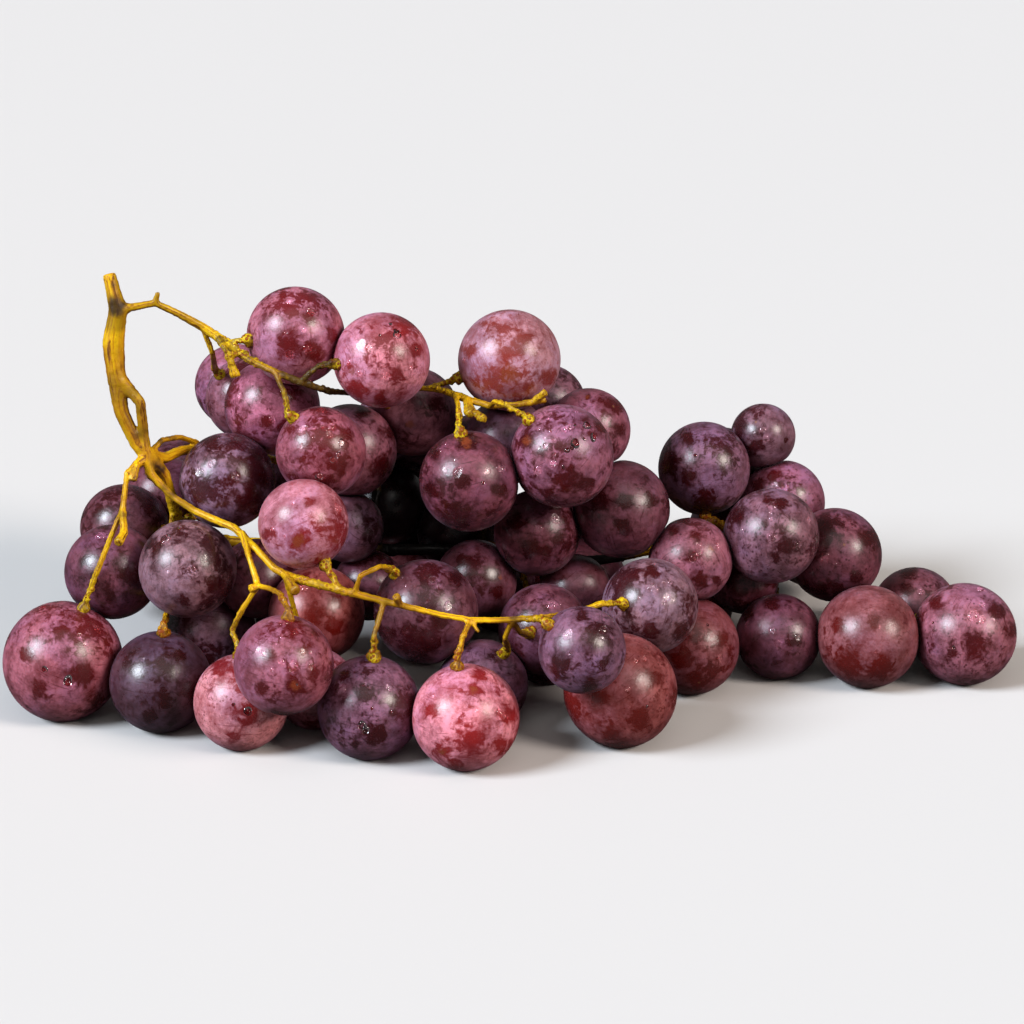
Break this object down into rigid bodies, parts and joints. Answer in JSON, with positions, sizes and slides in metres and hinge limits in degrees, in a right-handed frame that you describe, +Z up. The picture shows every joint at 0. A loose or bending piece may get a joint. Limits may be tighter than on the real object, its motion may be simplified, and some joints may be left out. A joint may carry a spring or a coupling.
{
  "type": "bunch of grapes",
  "caption": "Loose bunch of round red table grapes on a branched yellow stem with a cut stalk, lying on its side on a flat surface.",
  "frame": {"origin": "on the surface the bunch lies on, under the middle of its bounding box", "axes": "+Z up from the surface; +X along the bunch, from the cut stalk towards the tail; -Y towards the side the picture shows"},
  "size_m": [0.2568, 0.1388, 0.1094],
  "materials": {
    "grape_skin": "satin skin with a thin waxy bloom",
    "grape_stem": "matt, golden yellow with brown streaks"
  },
  "bodies": {
    "root": {"berries": "grape_skin", "stem": "grape_stem"}
  },
  "joints": []
}
